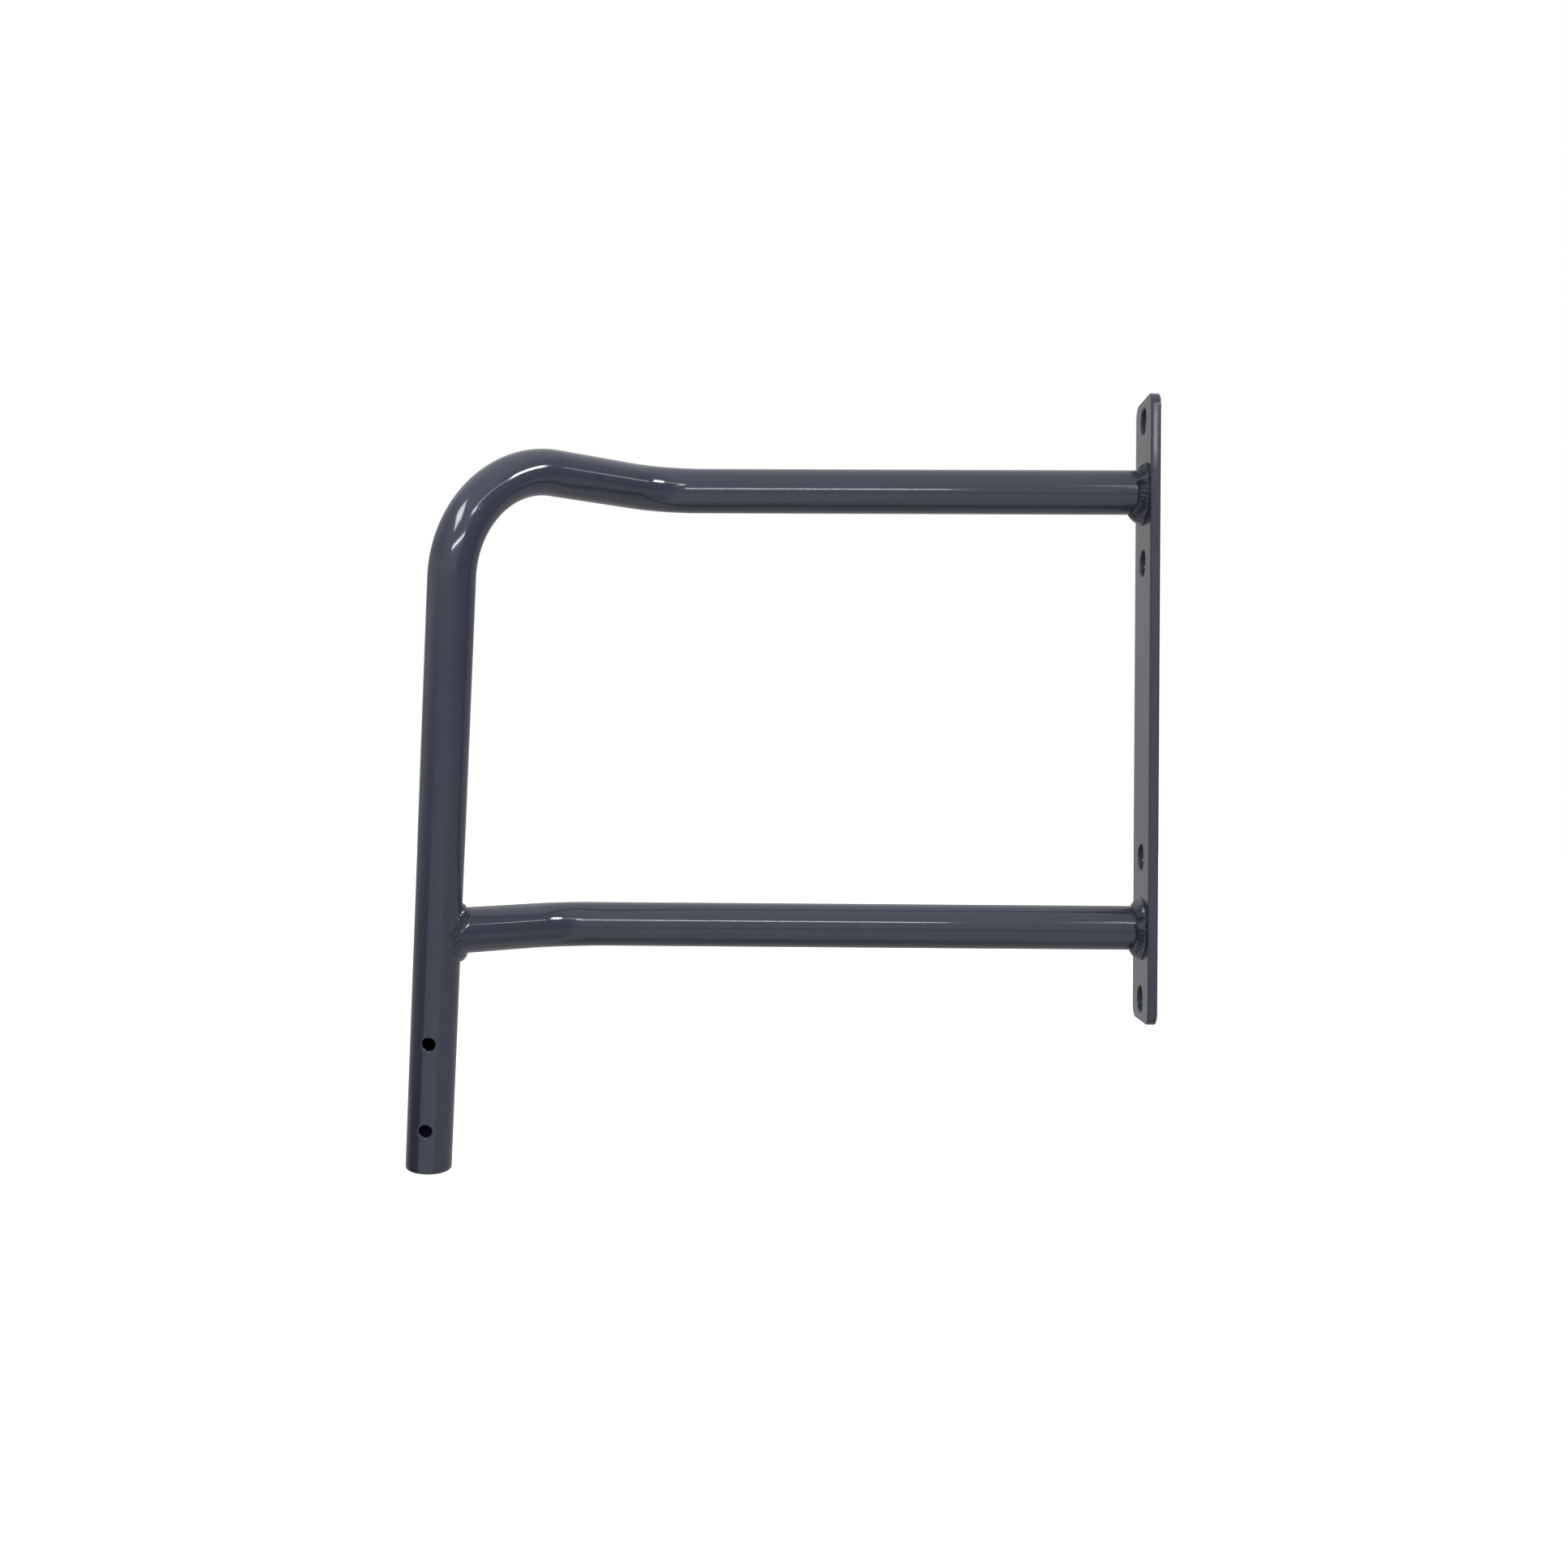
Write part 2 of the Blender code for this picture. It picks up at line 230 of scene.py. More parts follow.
LEG_TOP, LEG_BOTTOM = leg_line()
LEG_DOWN = (LEG_BOTTOM - LEG_TOP).normalized()
HOLE_FACING = (Vector((0, -1, 0)) - LEG_DOWN * LEG_DOWN.dot(Vector((0, -1, 0)))).normalized()
STAY_CORNER, STAY_MEETING = stay_line()
STAY_ALONG = (STAY_MEETING - STAY_CORNER).normalized()


# Mesh helpers

def link_loops(shape, first, second):
    """Quads between two closed loops of the same length."""
    count = len(first)
    for index in range(count):
        following = (index + 1) % count
        shape.faces.new((first[index], first[following], second[following], second[index]))


def piece_from(shape, name, node, material):
    """Turn a bmesh into a smooth piece that stands for a CAD node and rides on the one body."""
    bmesh.ops.recalc_face_normals(shape, faces=shape.faces)
    mesh = bpy.data.meshes.new(name)
    shape.to_mesh(mesh)
    shape.free()
    mesh.shade_smooth()
    mesh.materials.append(material)
    piece = bpy.data.objects.new(name, mesh)
    bpy.context.scene.collection.objects.link(piece)
    return declare(piece, node)


def declare(piece, node):
    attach(piece, "root")
    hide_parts(node)
    return piece


def rim_profile(outer, inner):
    """(distance from the end plane, radius) from the outer skin over the rim to the bore."""
    profile = []
    for step in range(RIM_STEPS + 1):
        angle = math.pi / 2 * step / RIM_STEPS
        profile.append((-RIM_ROUNDING * (1 - math.sin(angle)),
                        outer - RIM_ROUNDING * (1 - math.cos(angle))))
    for step in range(RIM_STEPS + 1):
        angle = math.pi / 2 * (1 - step / RIM_STEPS)
        profile.append((-RIM_ROUNDING * (1 - math.sin(angle)),
                        inner + RIM_ROUNDING * (1 - math.cos(angle))))
    return profile


def ring(shape, station, radius):
    return [shape.verts.new(station.point(math.tau * side / TUBE_SIDES, radius))
            for side in range(TUBE_SIDES)]


# The arm, with its drilled leg

def hole_perimeter(rows, row, column):
    """The vertices round the square patch that a bolt hole takes out of a skin."""
    low, high = -DRILL_CELLS, DRILL_CELLS
    places = [(low, across) for across in range(low, high)]
    places += [(down, high) for down in range(low, high)]
    places += [(high, across) for across in range(high, low, -1)]
    places += [(down, low) for down in range(high, low, -1)]
    return [rows[row + down][(column + across) % TUBE_SIDES] for down, across in places]


def drill(shape, outer_rim, inner_rim, centre, facing):
    """Surface round a bolt hole: both skins' patches, the eased lips and the hole's wall."""
    side = facing.cross(LEG_DOWN)

    def loop(flat, radius, depth):
        points = []
        for across, along in flat:
            rise = math.sqrt(radius * radius - across * across) - depth
            points.append(shape.verts.new(centre + side * across + LEG_DOWN * along
                                          + facing * rise))
        return points

    def flatten(rim):
        return [((vert.co - centre).dot(side), (vert.co - centre).dot(LEG_DOWN)) for vert in rim]

    outer_flat = flatten(outer_rim)
    angles = [math.atan2(along, across) for across, along in outer_flat]

    def circle(radius):
        return [(radius * math.cos(angle), radius * math.sin(angle)) for angle in angles]

    def blend(flat, round_flat, share):
        return [(a[0] * (1 - share) + b[0] * share, a[1] * (1 - share) + b[1] * share)
                for a, b in zip(flat, round_flat)]

    wide = circle(LEG_HOLE_RADIUS + LIP_ROUNDING)
    loops = [outer_rim]
    loops += [loop(blend(outer_flat, wide, share), TUBE_RADIUS, 0.0) for share in PATCH_SHARES]
    for step in range(LIP_STEPS + 1):
        angle = math.pi / 2 * step / LIP_STEPS
        radius = LEG_HOLE_RADIUS + LIP_ROUNDING * (1 - math.sin(angle))
        loops.append(loop(circle(radius), TUBE_RADIUS, LIP_ROUNDING * (1 - math.cos(angle))))
    inner_flat = flatten(inner_rim)
    loops.append(loop(circle(LEG_HOLE_RADIUS), BORE_RADIUS, -RIM_ROUNDING))
    wide = circle(LEG_HOLE_RADIUS + RIM_ROUNDING)
    loops.append(loop(wide, BORE_RADIUS, 0.0))
    loops += [loop(blend(inner_flat, wide, share), BORE_RADIUS, 0.0)
              for share in reversed(PATCH_SHARES)]
    loops.append(inner_rim)
    for first, second in zip(loops, loops[1:]):
        link_loops(shape, first, second)


def leg_stations(start):
    """Sections down the leg from the top bend, with close rows at each bolt hole."""
    length = (LEG_BOTTOM - start).length
    cell = math.tau * TUBE_RADIUS / TUBE_SIDES
    half = DRILL_CELLS * cell
    stations = []
    hole_rows = []
    place = 0.0
    for from_end in reversed(LEG_HOLES_FROM_END):
        first = length - from_end - half
        stations += straight_stations(start + LEG_DOWN * place, start + LEG_DOWN * first, LEG_DOWN)
        hole_rows.append(len(stations) + DRILL_CELLS)
        for step in range(2 * DRILL_CELLS + 1):
            stations.append(Station(start + LEG_DOWN * (first + step * cell), LEG_DOWN))
        place = first + 2 * half
    stations += straight_stations(start + LEG_DOWN * place, LEG_BOTTOM, LEG_DOWN)
    return stations, hole_rows


def skins(shape, outer_rows, inner_rows, drilled=()):
    """Faces of both skins, leaving out the square patches round the holes."""
    for rows in (outer_rows, inner_rows):
        for row in range(len(rows) - 1):
            for side in range(TUBE_SIDES):
                if (row, side) in drilled:
                    continue
                following = (side + 1) % TUBE_SIDES
                shape.faces.new((rows[row][side], rows[row][following],
                                 rows[row + 1][following], rows[row + 1][side]))


def end_rim(shape, station, outer_row, inner_row, direction):
    """The rounded rim at a tube's end. direction is 1 at the far end and -1 at the start."""
    loops = [outer_row]
    for distance, radius in rim_profile(TUBE_RADIUS, BORE_RADIUS):
        loops.append(ring(shape, station.moved(direction * distance), radius))
    loops.append(inner_row)
    for first, second in zip(loops, loops[1:]):
        link_loops(shape, first, second)


def build_arm(material):
    """The arm, the top bend and the drilled leg, as one bent tube."""
    start = Vector((PLATE_FRONT - FIT_GAP, 0, TUBE_SPACING / 2))
    corners = [start, Vector((-ARM_STRAIGHT, 0, start.z)), LEG_TOP, LEG_BOTTOM]
    bent = tube_stations(corners, [SIDE_BEND_FLATTENING, TOP_BEND_FLATTENING])
    leg, hole_rows = leg_stations(bent[-1].centre)
    stations = bent + leg
    end = Station(LEG_BOTTOM, LEG_DOWN)
    carry_directions(stations + [end], HOLE_FACING)
    # The first and last sections stay clear of the rims' rounding.
    body = [stations[0].moved(2 * RIM_ROUNDING)] + stations[1:] + [end.moved(-2 * RIM_ROUNDING)]
    shape = bmesh.new()
    outer_rows = [ring(shape, station, TUBE_RADIUS) for station in body]
    inner_rows = [ring(shape, station, BORE_RADIUS) for station in body]
    drilled = set()
    for leg_row in hole_rows:
        row = len(bent) + leg_row
        for column in (0, TUBE_SIDES // 2):
            for down in range(-DRILL_CELLS, DRILL_CELLS):
                for across in range(-DRILL_CELLS, DRILL_CELLS):
                    drilled.add((row + down, (column + across) % TUBE_SIDES))
            facing = body[row].first if column == 0 else -body[row].first
            drill(shape, hole_perimeter(outer_rows, row, column),
                  hole_perimeter(inner_rows, row, column), body[row].centre, facing)
    skins(shape, outer_rows, inner_rows, drilled)
    end_rim(shape, end, outer_rows[-1], inner_rows[-1], 1)
    end_rim(shape, stations[0], outer_rows[0], inner_rows[0], -1)
    loose = [vert for vert in shape.verts if not vert.link_faces]
    bmesh.ops.delete(shape, geom=loose, context="VERTS")
    return piece_from(shape, "arm_tube_skin", "arm_tube", material)


# The stay, coped to the leg

def reach_leg(point, radius):
    """How far a point travels along the stay before it is at that radius from the leg's axis."""
    across = (point - STAY_MEETING).cross(LEG_DOWN)
    travel = STAY_ALONG.cross(LEG_DOWN)
    a = travel.dot(travel)
    b = 2 * across.dot(travel)
    c = across.dot(across) - radius * radius
    root = math.sqrt(max(b * b - 4 * a * c, 0.0))
    return (-b - root) / (2 * a)


def build_stay(material):
    """The lower tube, bent once, its far end cut to the round of the leg."""
    start = Vector((PLATE_FRONT - FIT_GAP, 0, -TUBE_SPACING / 2))
    stations = tube_stations([start, STAY_CORNER, STAY_MEETING], [SIDE_BEND_FLATTENING])
    carry_directions(stations, Vector((0, 0, 1)))
    body = [stations[0].moved(2 * RIM_ROUNDING)] + stations[1:]
    shape = bmesh.new()
    outer_rows = [ring(shape, station, TUBE_RADIUS) for station in body]
    inner_rows = [ring(shape, station, BORE_RADIUS) for station in body]
    for rows in (outer_rows, inner_rows):
        last = rows[-1]
        reaches = [reach_leg(vert.co, TUBE_RADIUS + COPE_CLEARANCE) for vert in last]
        for step in range(1, COPE_STEPS + 1):
            share = step / COPE_STEPS
            rows.append([shape.verts.new(vert.co + STAY_ALONG * reach * share)
                         for vert, reach in zip(last, reaches)])
    skins(shape, outer_rows, inner_rows)
    link_loops(shape, outer_rows[-1], inner_rows[-1])
    end_rim(shape, stations[0], outer_rows[0], inner_rows[0], -1)
    return piece_from(shape, "stay_tube_skin", "stay_tube", material)


# The wall plate

def circle_points(centre_z, radius, steps):
    """A circle that runs clockwise, as a hole in an outline does."""
    return [(radius * math.cos(math.tau * step / steps),
             centre_z - radius * math.sin(math.tau * step / steps)) for step in range(steps)]


def rounded_rectangle(width, height, radius, steps):
    points = []
    for side_y, side_z, start in ((1, 1, 0), (-1, 1, 90), (-1, -1, 180), (1, -1, 270)):
        for step in range(steps + 1):
            angle = math.radians(start + 90 * step / steps)
            points.append((side_y * (width / 2 - radius) + radius * math.cos(angle),
                           side_z * (height / 2 - radius) + radius * math.sin(angle)))
    return points


def build_plate(material):
    """Flat bar with round corners, eased edges and four holes."""
    data = bpy.data.curves.new("plate outline", "CURVE")
    data.dimensions = "2D"
    data.fill_mode = "BOTH"
    data.extrude = PLATE_THICKNESS / 2 - PLATE_EDGE_ROUNDING
    data.bevel_depth = PLATE_EDGE_ROUNDING
    data.bevel_resolution = 4
    data.offset = -PLATE_EDGE_ROUNDING
    outlines = [rounded_rectangle(PLATE_WIDTH, PLATE_HEIGHT, PLATE_CORNER_RADIUS,
                                  PLATE_CORNER_STEPS)]
    for level in (1, -1):
        for side in (1, -1):
            height = level * TUBE_SPACING / 2 + side * PLATE_HOLE_OFFSET
            outlines.append(circle_points(height, PLATE_HOLE_RADIUS, PLATE_HOLE_STEPS))
    for outline in outlines:
        spline = data.splines.new("POLY")
        spline.points.add(len(outline) - 1)
        for spline_point, (across, up) in zip(spline.points, outline):
            spline_point.co = (across, up, 0, 1)
        spline.use_cyclic_u = True
    flat = bpy.data.objects.new("plate outline", data)
    bpy.context.scene.collection.objects.link(flat)
    bpy.context.view_layer.update()
    graph = bpy.context.evaluated_depsgraph_get()
    mesh = bpy.data.meshes.new_from_object(flat.evaluated_get(graph))
    bpy.data.objects.remove(flat, do_unlink=True)
    # The outline's own x, y and z become the plate's Y, Z and X.
    turn = Matrix(((0, 0, 1, 0), (1, 0, 0, 0), (0, 1, 0, 0), (0, 0, 0, 1)))
    mesh.transform(Matrix.Translation((PLATE_FRONT / 2, 0, 0)) @ turn)
    shape = bmesh.new()
    shape.from_mesh(mesh)
    bmesh.ops.remove_doubles(shape, verts=shape.verts, dist=MERGE_DISTANCE)
    bpy.data.meshes.remove(mesh)
    plate = piece_from(shape, "wall_plate_skin", "wall_plate", material)
    weights = plate.modifiers.new("flat faces stay flat", "WEIGHTED_NORMAL")
    weights.keep_sharp = True
    return plate


# Welds

class Bead:
    """The look of one weld: its fillet's size round the joint, its swell, its ripples (how far
    apart and how high) and its uneven places."""

    def __init__(self, on_tube, on_base, crown, pitch, ripple, places, seed):
        self.on_tube = on_tube
        self.on_base = on_base
        self.crown = crown
        self.pitch = pitch
        self.ripple = ripple
        self.places = places
        self.seed = seed

    def wander(self, angle, rate, layer):
        """Slow unevenness from -1 to 1 that closes on itself round the joint."""
        return noise.noise(Vector((math.cos(angle) * rate, math.sin(angle) * rate,
                                   self.seed + layer)))

    def sizes(self, angle):
        """Fillet legs on the tube and the base, and the crown, at an angle round the joint."""
        tube = self.on_tube * (1 + 0.10 * self.wander(angle, 2.2, 0.0))
        base = self.on_base * (1 + 0.10 * self.wander(angle, 2.6, 5.0))
        crown = self.crown * (1 + 0.35 * self.wander(angle, 3.0, 9.0))
        for centre, width, more_tube, more_base, more_crown in self.places:
            away = (angle - centre + math.pi) % math.tau - math.pi
            weight = math.exp(-(away / width) ** 2)
            tube += more_tube * weight
            base += more_base * weight
            crown += more_crown * weight
        return tube, base, crown

    def swell(self, distance, share, crown, angle):
        """Height of the face above the straight line between its toes."""
        arch = 4 * share * (1 - share)
        bow = (2 * share - 1) ** 2
        phase = math.tau * (distance / self.pitch + 0.45 * bow) + 1.2 * self.wander(angle, 9, 3.0)
        wave = 0.5 + 0.5 * math.cos(phase)
        return crown * arch + self.ripple * (wave ** 1.5 - 0.4) * min(1.0, 2.5 * arch)


def build_weld(name, node, bead, corner_at, material):
    """A closed ring of bead. corner_at(angle) gives the joint there as (corner, point_on_tube,
    point_on_base, outward): two functions of a distance, and the direction of the swell."""
    shape = bmesh.new()
    loops = []
    distance = 0.0
    before = corner_at(0.0)[0]
    for step in range(WELD_STEPS):
        angle = math.tau * step / WELD_STEPS
        corner, on_tube, on_base, outward = corner_at(angle)
        distance += (corner - before).length
        before = corner
        tube, base, crown = bead.sizes(angle)
        tube_toe = on_tube(tube)
        base_toe = on_base(base)
        section = []
        for place in range(WELD_FACE_STEPS + 1):
            share = place / WELD_FACE_STEPS
            height = bead.swell(distance, share, crown, angle)
            section.append(tube_toe.lerp(base_toe, share) + outward * height)
        section.append(corner - outward * WELD_ROOT_DEPTH)
        loops.append([shape.verts.new(point) for point in section])
    for index, loop in enumerate(loops):
        link_loops(shape, loop, loops[(index + 1) % WELD_STEPS])
    return piece_from(shape, name, node, material)


def plate_joint(height):
    """The corner between a tube and the plate, by angle from -Y towards +Z."""
    axis = Vector((PLATE_FRONT, 0, height))

    def corner_at(angle):
        radial = Vector((0, -math.cos(angle), math.sin(angle)))
        corner = axis + radial * TUBE_RADIUS

        def on_tube(length):
            return corner - radial * TOE_SINK + Vector((-length, 0, 0))

        def on_base(length):
            return corner + radial * length + Vector((TOE_SINK, 0, 0))

        return corner, on_tube, on_base, (radial + Vector((-1, 0, 0))).normalized()

    return corner_at


def leg_joint(angle):
    """The corner between the stay and the leg, by angle round the stay from its flank."""
    side = STAY_ALONG.cross(Vector((0, 0, 1))).normalized()
    up = side.cross(STAY_ALONG)
    small_turn = 0.01

    def surface_point(turn):
        radial = side * math.cos(turn) + up * math.sin(turn)
        foot = STAY_MEETING + radial * TUBE_RADIUS
        return foot + STAY_ALONG * reach_leg(foot, TUBE_RADIUS + LEG_TOE_CLEARANCE), radial

    corner, radial = surface_point(angle)
    ahead, _ = surface_point(angle + small_turn)
    behind, _ = surface_point(angle - small_turn)
    tangent = (ahead - behind).normalized()
    from_axis = corner - STAY_MEETING
    leg_foot = STAY_MEETING + LEG_DOWN * from_axis.dot(LEG_DOWN)
    leg_normal = (corner - leg_foot).normalized()
    away = tangent.cross(leg_normal)
    # The base leg has to run away from the stay: outward, or ahead where outward says little.
    if (away.dot(STAY_ALONG) < 0 and abs(away.dot(radial)) < 0.5) or away.dot(radial) < -0.5:
        away = -away

    def on_tube(length):
        return corner - radial * TOE_SINK - STAY_ALONG * length

    def on_base(length):
        along = away.dot(LEG_DOWN) * length
        turn = away.dot(LEG_DOWN.cross(leg_normal)) * length / TUBE_RADIUS
        spun = Matrix.Rotation(turn, 3, LEG_DOWN) @ leg_normal
        return leg_foot + LEG_DOWN * along + spun * (TUBE_RADIUS - TOE_SINK)

    return corner, on_tube, on_base, (radial + leg_normal).normalized()


# Powder coat

def colour_mix(nodes):
    """A node that mixes two colours, given as its share, two colour inputs and output."""
    node = nodes.new("ShaderNodeMix")
    node.data_type = "RGBA"
    first, second = [socket for socket in node.inputs if socket.type == "RGBA"]
    mixed = next(socket for socket in node.outputs if socket.type == "RGBA")
    return node.inputs["Factor"], first, second, mixed


def powder_coat(name, colour, peel, flow):
    """Glossy powder coat: a fine orange-peel skin, slow flow waves and a slightly uneven tone.

    peel and flow are the heights of the two kinds of unevenness, in metres."""
    material = bpy.data.materials.new(name)
    material.use_nodes = True
    nodes = material.node_tree.nodes
    links = material.node_tree.links
    shader = nodes["Principled BSDF"]
    place = nodes.new("ShaderNodeTexCoord")

    def pattern(scale, detail):
        texture = nodes.new("ShaderNodeTexNoise")
        texture.inputs["Scale"].default_value = scale
        texture.inputs["Detail"].default_value = detail
        links.new(place.outputs["Object"], texture.inputs["Vector"])
        return texture.outputs["Fac"]

    tone, darker, lighter, mixed = colour_mix(nodes)
    darker.default_value = (*[channel * (1 - TONE_SWING) for channel in colour], 1.0)
    lighter.default_value = (*[channel * (1 + TONE_SWING) for channel in colour], 1.0)
    links.new(pattern(TONE_SCALE, 3.0), tone)
    links.new(mixed, shader.inputs["Base Color"])

    gloss = nodes.new("ShaderNodeMapRange")
    gloss.inputs["To Min"].default_value = ROUGHNESS_RANGE[0]
    gloss.inputs["To Max"].default_value = ROUGHNESS_RANGE[1]
    links.new(pattern(ROUGHNESS_SCALE, 4.0), gloss.inputs["Value"])
    links.new(gloss.outputs["Result"], shader.inputs["Roughness"])

    fine = nodes.new("ShaderNodeBump")
    fine.inputs["Distance"].default_value = peel
    links.new(pattern(PEEL_SCALE, 1.0), fine.inputs["Height"])
    slow = nodes.new("ShaderNodeBump")
    slow.inputs["Distance"].default_value = flow
    links.new(pattern(FLOW_SCALE, 1.5), slow.inputs["Height"])
    links.new(slow.outputs["Normal"], fine.inputs["Normal"])
    links.new(fine.outputs["Normal"], shader.inputs["Normal"])
    return material


# Stage, light and camera

def build_stage():
    """A wide pale floor well below the bracket, which hangs on a wall in use.

    The bracket is lit by the room and the lamps alone, so the floor gives it no light back."""
    bpy.ops.mesh.primitive_plane_add(size=FLOOR_SIZE, location=(0, 0, FLOOR_HEIGHT))
    floor = bpy.context.object
    floor.name = "floor"
    floor.visible_diffuse = False
    floor.visible_glossy = False
    paint = bpy.data.materials.new("pale floor")
    paint.use_nodes = True
    shader = paint.node_tree.nodes["Principled BSDF"]
    shader.inputs["Base Color"].default_value = (0.9, 0.9, 0.9, 1.0)
    shader.inputs["Roughness"].default_value = 0.9
    shader.inputs["Emission Color"].default_value = (1.0, 1.0, 1.0, 1.0)
    shader.inputs["Emission Strength"].default_value = FLOOR_GLOW
    floor.data.materials.append(paint)


def softbox(name, target, azimuth, elevation, distance, size, radiance, tilt=0.0):
    """A rectangular lamp that faces the target from a direction, unseen by the camera itself.

    azimuth runs from the front (-Y) towards the wall (+X), in degrees like the elevation and
    the tilt, which turns the rectangle about its own axis. size is (width, height)."""
    turn = math.radians(azimuth)
    rise = math.radians(elevation)
    away = Vector((math.sin(turn) * math.cos(rise), -math.cos(turn) * math.cos(rise),
                   math.sin(rise)))
    data = bpy.data.lights.new(name, "AREA")
    data.shape = "RECTANGLE"
    data.size, data.size_y = size
    data.energy = radiance * math.pi * size[0] * size[1]
    lamp = bpy.data.objects.new(name, data)
    lamp.location = Vector(target) + away * distance
    facing = (-away).to_track_quat("-Z", "Y")
    lamp.rotation_euler = (facing @ Quaternion((0, 0, 1), math.radians(tilt))).to_euler()
    lamp.visible_camera = False
    bpy.context.scene.collection.objects.link(lamp)
    return lamp


def focus(lamp, spread):
    """Put a grid on a lamp, so that its light fades out towards that many degrees of beam.

    A narrow beam is made brighter by the renderer, which the power makes up for."""
    half = math.radians(spread / 2)
    lamp.data.spread = 2 * half
    lamp.data.energy *= (math.tan(half) - half) / math.tan(half)


def build_lamps(tubes):
    """A key light on the top bend, strips and windows that draw the tubes' long highlights, and
    a thin lamp for the top of the plate's edge."""
    key = softbox("key", (-0.57, -0.15, 0.15), azimuth=-25.0, elevation=37.0, distance=1.2,
                  size=(0.66, 0.27), radiance=17.0, tilt=-45.0)
    focus(key, KEY_BEAM)
    strip = softbox("strip", (-0.38, -0.05, 0.0), azimuth=0.0, elevation=15.0, distance=0.9,
                    size=(0.56, 0.034), radiance=25.0)
    round_pieces = bpy.data.collections.new("tubes")
    for tube in tubes:
        round_pieces.objects.link(tube)
    strip.light_linking.receiver_collection = round_pieces
    softbox("side strip", (-0.3, -0.05, 0.0), azimuth=45.0, elevation=30.0, distance=3.0,
            size=(3.0, 0.08), radiance=10.0)
    softbox("far window", (-0.52, -0.06, 0.0), azimuth=66.0, elevation=29.0, distance=3.0,
            size=(0.8, 0.42), radiance=28.0)
    softbox("wall side", (-0.45, -0.08, 0.0), azimuth=92.0, elevation=22.0, distance=3.0,
            size=(1.0, 0.14), radiance=6.0)
    softbox("near window", (-0.4, -0.02, 0.19), azimuth=25.0, elevation=20.0, distance=3.0,
            size=(0.42, 0.16), radiance=24.0)
    softbox("edge glint", (-0.0045, -0.0335, 0.235), azimuth=11.32, elevation=12.1, distance=0.93,
            size=(0.004, 0.085), radiance=48.0)


def build_world():
    """A white backdrop for the camera, and a room that lights the bracket: bright in front and
    overhead, with a darker band low in front, dark low at the left and dim to the right."""
    world = bpy.data.worlds.new("studio")
    bpy.context.scene.world = world
    world.use_nodes = True
    nodes = world.node_tree.nodes
    links = world.node_tree.links
    direction = nodes.new("ShaderNodeTexCoord")
    axes = nodes.new("ShaderNodeSeparateXYZ")
    links.new(direction.outputs["Generated"], axes.inputs["Vector"])
    height = nodes.new("ShaderNodeMapRange")
    height.inputs["From Min"].default_value = -1.0
    links.new(axes.outputs["Z"], height.inputs["Value"])

    def blend(value, start, end):
        """A smooth step from 0 to 1 while the value goes from start to end."""
        step = nodes.new("ShaderNodeMapRange")
        step.interpolation_type = "SMOOTHSTEP"
        step.inputs["From Min"].default_value = start
        step.inputs["From Max"].default_value = end
        links.new(value, step.inputs["Value"])
        return step.outputs["Result"]

    def mix(share, first, second):
        factor, colour_a, colour_b, mixed = colour_mix(nodes)
        links.new(share, factor)
        links.new(first, colour_a)
        links.new(second, colour_b)
        return mixed

    def shade(stops):
        """Grey by height, from (height, brightness) pairs; height is the sine of the elevation."""
        ramp = nodes.new("ShaderNodeValToRGB")
        elements = ramp.color_ramp.elements
        while len(elements) < len(stops):
            elements.new(0.5)
        for element, (level, grey) in zip(elements, stops):
            element.position = (level + 1) / 2
            element.color = (grey, grey, grey, 1.0)
        links.new(height.outputs["Result"], ramp.inputs["Fac"])
        return ramp.outputs["Color"]

    left_half = mix(blend(axes.outputs["X"], -0.58, -0.7), shade(ROOM_IN_FRONT),
                    shade(ROOM_AT_LEFT))
    near_half = mix(blend(axes.outputs["X"], 0.35, 0.7), left_half, shade(ROOM_AT_RIGHT))
    room = mix(blend(axes.outputs["Y"], 0.1, 0.6), near_half, shade(ROOM_BEHIND))
    lighting = nodes["Background"]
    links.new(room, lighting.inputs["Color"])
    backdrop = nodes.new("ShaderNodeBackground")
    backdrop.inputs["Color"].default_value = (1.0, 1.0, 1.0, 1.0)
    rays = nodes.new("ShaderNodeLightPath")
    choice = nodes.new("ShaderNodeMixShader")
    links.new(rays.outputs["Is Camera Ray"], choice.inputs["Fac"])
    room_light, seen_backdrop = [socket for socket in choice.inputs if socket.type == "SHADER"]
    links.new(lighting.outputs["Background"], room_light)
    links.new(backdrop.outputs["Background"], seen_backdrop)
    links.new(choice.outputs["Shader"], nodes["World Output"].inputs["Surface"])


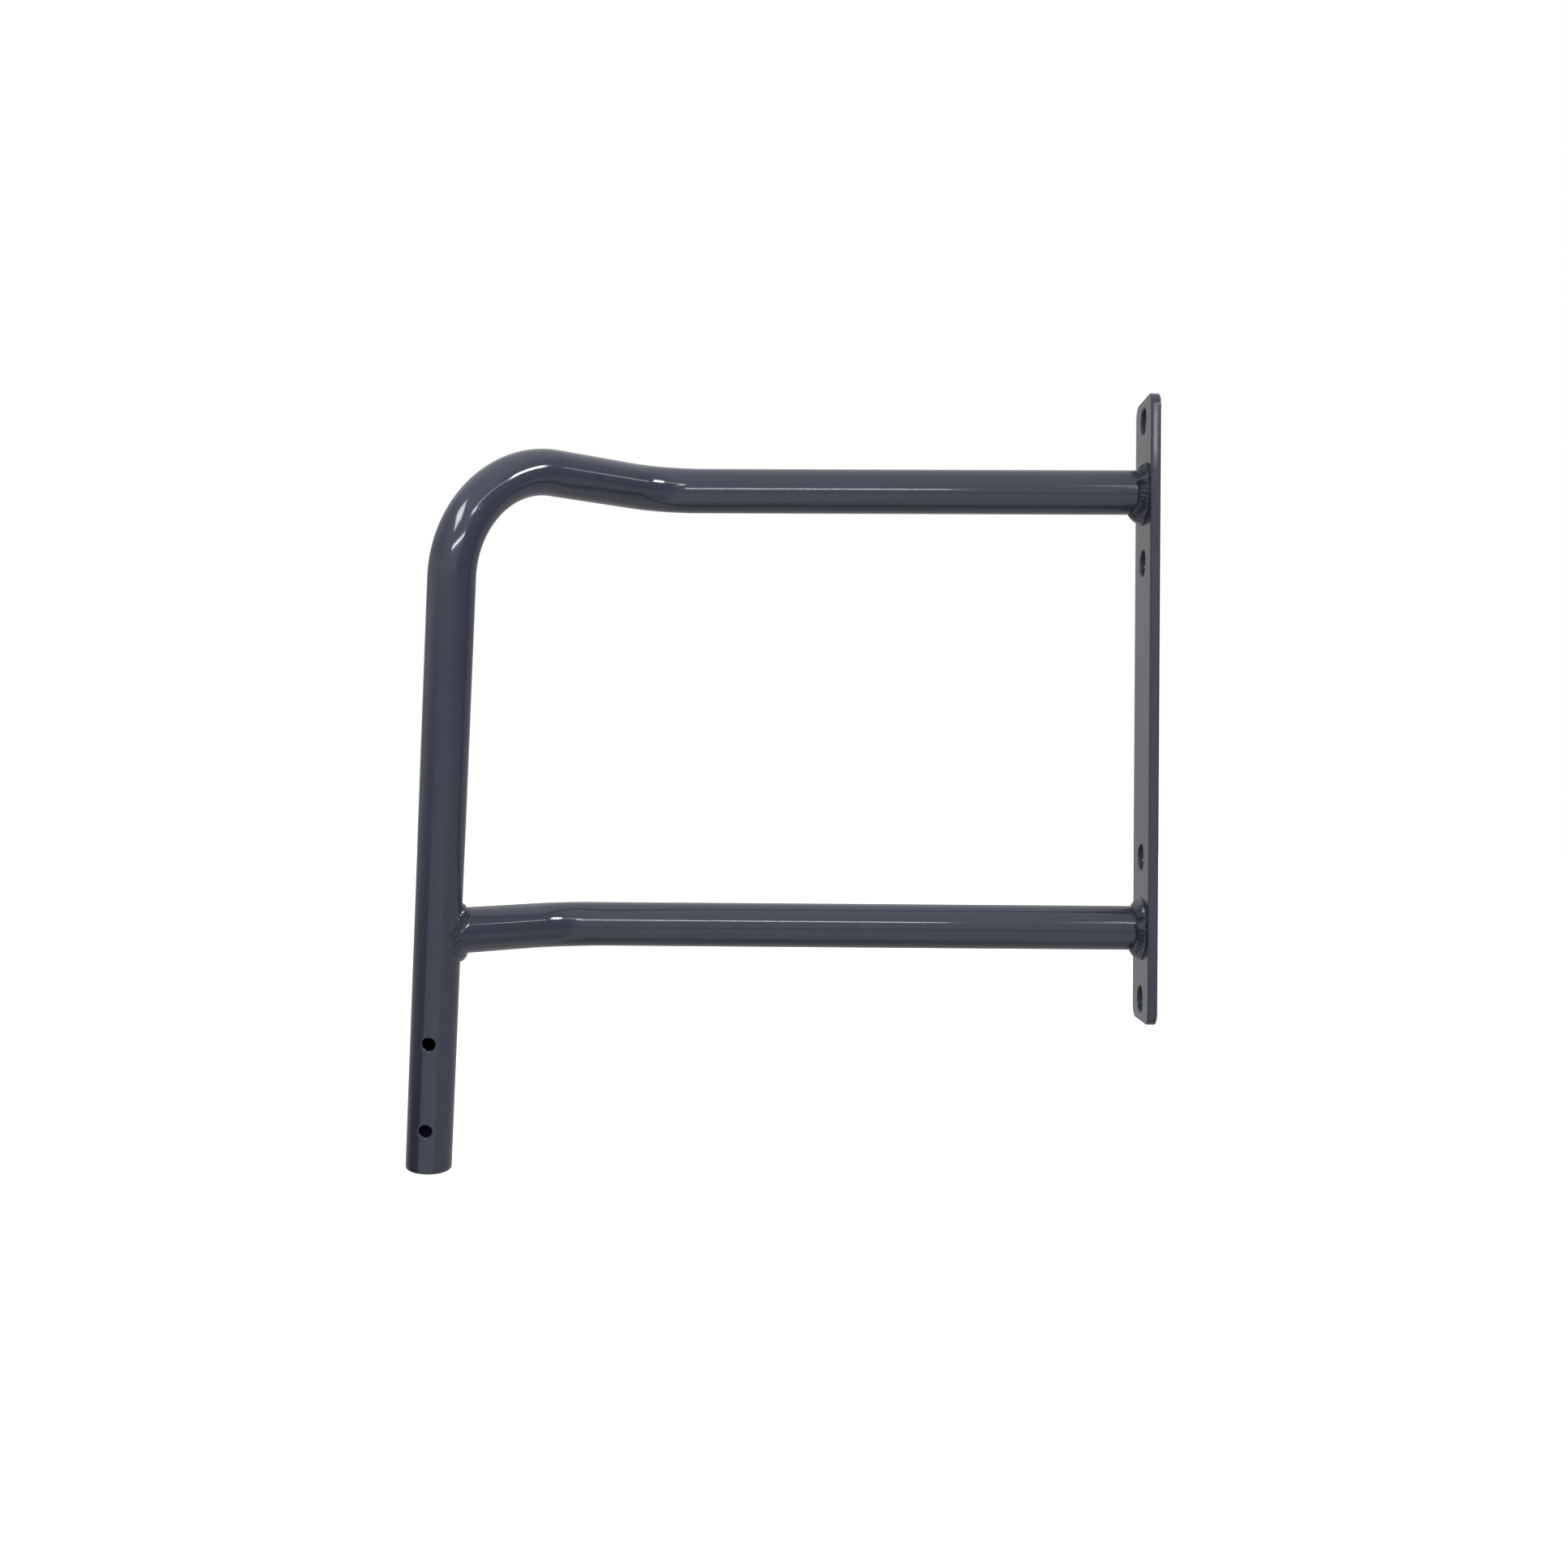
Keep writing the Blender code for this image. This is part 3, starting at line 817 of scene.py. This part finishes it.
def build_camera():
    """A level camera in front of the bracket, a little below its middle."""
    forward = Vector((math.sin(CAMERA_YAW), math.cos(CAMERA_YAW), 0))
    level = Vector((math.cos(CAMERA_YAW), -math.sin(CAMERA_YAW), 0))
    right = level * math.cos(CAMERA_ROLL) + Vector((0, 0, 1)) * math.sin(CAMERA_ROLL)
    up = right.cross(forward)
    data = bpy.data.cameras.new("camera")
    data.sensor_width = CAMERA_SENSOR
    data.lens = CAMERA_LENS
    camera = bpy.data.objects.new("camera", data)
    turn = Matrix((right, up, -forward)).transposed().to_4x4()
    camera.matrix_world = Matrix.Translation(CAMERA_PLACE) @ turn
    bpy.context.scene.collection.objects.link(camera)
    bpy.context.scene.camera = camera


tube_coat = powder_coat("tube powder coat", (0.028, 0.032, 0.052), 0.000004, 0.000006)
plate_coat = powder_coat("plate powder coat", (0.028, 0.032, 0.051), 0.000006, 0.000016)
weld_coat = powder_coat("weld powder coat", (0.028, 0.032, 0.050), 0.00001, 0.00005)

arm = build_arm(tube_coat)
stay = build_stay(tube_coat)
build_plate(plate_coat)
arm_bead = Bead(on_tube=0.0080, on_base=0.0082, crown=0.0012, pitch=0.0030, ripple=0.00022,
                places=ARM_WELD_PLACES, seed=1.0)
stay_bead = Bead(on_tube=0.0078, on_base=0.0078, crown=0.0012, pitch=0.0030, ripple=0.00022,
                 places=STAY_WELD_PLACES, seed=2.0)
leg_bead = Bead(on_tube=0.0060, on_base=0.0060, crown=0.0011, pitch=0.0040, ripple=0.00032,
                places=LEG_WELD_PLACES, seed=3.0)
build_weld("weld_arm_plate_bead", "weld_arm_plate", arm_bead, plate_joint(TUBE_SPACING / 2),
           weld_coat)
build_weld("weld_stay_plate_bead", "weld_stay_plate", stay_bead, plate_joint(-TUBE_SPACING / 2),
           weld_coat)
build_weld("weld_stay_leg_bead", "weld_stay_leg", leg_bead, leg_joint, weld_coat)

build_stage()
build_world()
build_camera()
build_lamps([arm, stay])

view = bpy.context.scene.view_settings
view.view_transform = "Standard"
view.look = "None"
